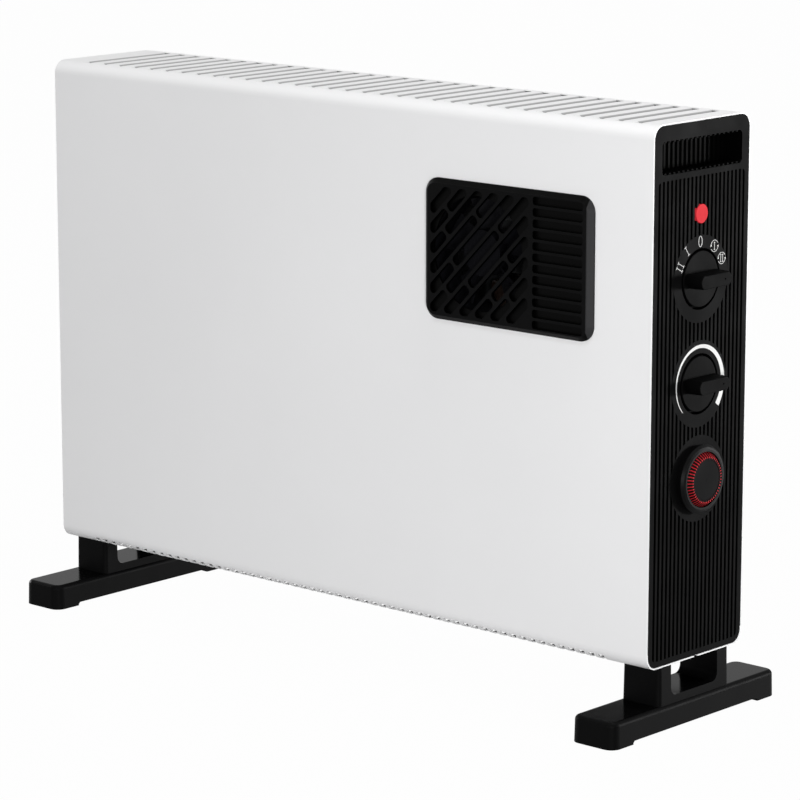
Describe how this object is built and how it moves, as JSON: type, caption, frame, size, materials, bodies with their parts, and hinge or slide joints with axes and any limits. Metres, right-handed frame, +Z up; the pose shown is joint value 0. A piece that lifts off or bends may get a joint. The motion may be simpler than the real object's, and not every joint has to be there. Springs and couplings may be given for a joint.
{
  "type": "convector heater",
  "caption": "White sheet-steel convector heater on two black feet, with a front fan grille and a ribbed control end: heat selector, thermostat, segment timer and pilot lamp.",
  "frame": {"origin": "middle of the whole heater's box, on the floor under the feet", "axes": "+X towards the control end along the casing, -Y out of the front face with the fan grille, +Z up"},
  "size_m": [0.6162, 0.1924, 0.435],
  "materials": {
    "white_enamel": "satin powder coat on sheet steel",
    "black_plastic": "moulded black plastic, fine satin",
    "knob_plastic": "moulded black plastic, satin",
    "foot_plastic": "moulded black plastic, semi-matt",
    "dark_nylon": "filled nylon",
    "red_plastic": "red moulded segments",
    "red_lens": "translucent red lens",
    "bright_steel": "turned steel",
    "zinc_steel": "zinc-plated sheet steel",
    "motor_steel": "laminated silicon steel",
    "fin_steel": "heat-stained fins",
    "cast_alloy": "die-cast",
    "coil_tape": "yellow insulating tape",
    "ceramic": "unglazed",
    "phenolic": "brown phenolic",
    "pale_nylon": "natural nylon",
    "black_rubber": "moulded rubber",
    "tab_brass": "tinned brass",
    "white_ink": "pad-printed marks"
  },
  "bodies": {
    "heater": {"front_casing": "white_enamel", "rear_casing": "white_enamel", "right_end_panel": "black_plastic", "left_end_panel": "black_plastic", "fan_grille": "black_plastic", "fan_shroud": "dark_nylon", "motor_strap": "zinc_steel", "front_bearing_bridge": "cast_alloy", "rear_bearing_bridge": "cast_alloy", "motor_laminations": "motor_steel", "motor_coil": "coil_tape", "front_element_fins": "fin_steel", "rear_element_fins": "fin_steel", "front_element_sheath": "bright_steel", "rear_element_sheath": "bright_steel", "left_element_bracket": "zinc_steel", "right_element_bracket": "zinc_steel", "element_bushes": "ceramic", "thermal_cutout": "phenolic", "heat_shield": "zinc_steel", "terminal_block": "pale_nylon", "cord_grommet": "black_rubber", "selector_switch": "pale_nylon", "thermostat_body": "phenolic", "timer_body": "pale_nylon", "timer_bezel": "knob_plastic", "control_tabs": "tab_brass", "pilot_lens": "red_lens", "pilot_holder": "pale_nylon", "right_foot": "foot_plastic", "left_foot": "foot_plastic", "foot_screws": "zinc_steel", "nut_plates": "zinc_steel", "case_screws": "zinc_steel"},
    "selector": {"selector_knob": "knob_plastic", "selector_spindle": "bright_steel"},
    "thermostat": {"thermostat_knob": "knob_plastic", "thermostat_spindle": "bright_steel"},
    "timer": {"timer_dial": "knob_plastic", "timer_tabs": "red_plastic", "timer_arbor": "bright_steel"},
    "fan": {"fan_impeller": "dark_nylon", "fan_shaft": "bright_steel", "motor_rotor": "motor_steel"}
  },
  "joints": [
    {"name": "selector_turn", "type": "hinge", "parent": "heater", "child": "selector", "pos_m": [0.2951, 0, 0.3221], "axis": [1, 0, 0], "range_deg": [0, 155]},
    {"name": "thermostat_turn", "type": "hinge", "parent": "heater", "child": "thermostat", "pos_m": [0.2951, 0, 0.2472], "axis": [1, 0, 0], "range_deg": [-40, 225]},
    {"name": "timer_turn", "type": "hinge", "parent": "heater", "child": "timer", "pos_m": [0.2951, 0, 0.179], "axis": [1, 0, 0], "continuous": true},
    {"name": "fan_spin", "type": "hinge", "parent": "heater", "child": "fan", "pos_m": [0.1385, -0.045, 0.3293], "axis": [0, 1, 0], "continuous": true}
  ]
}
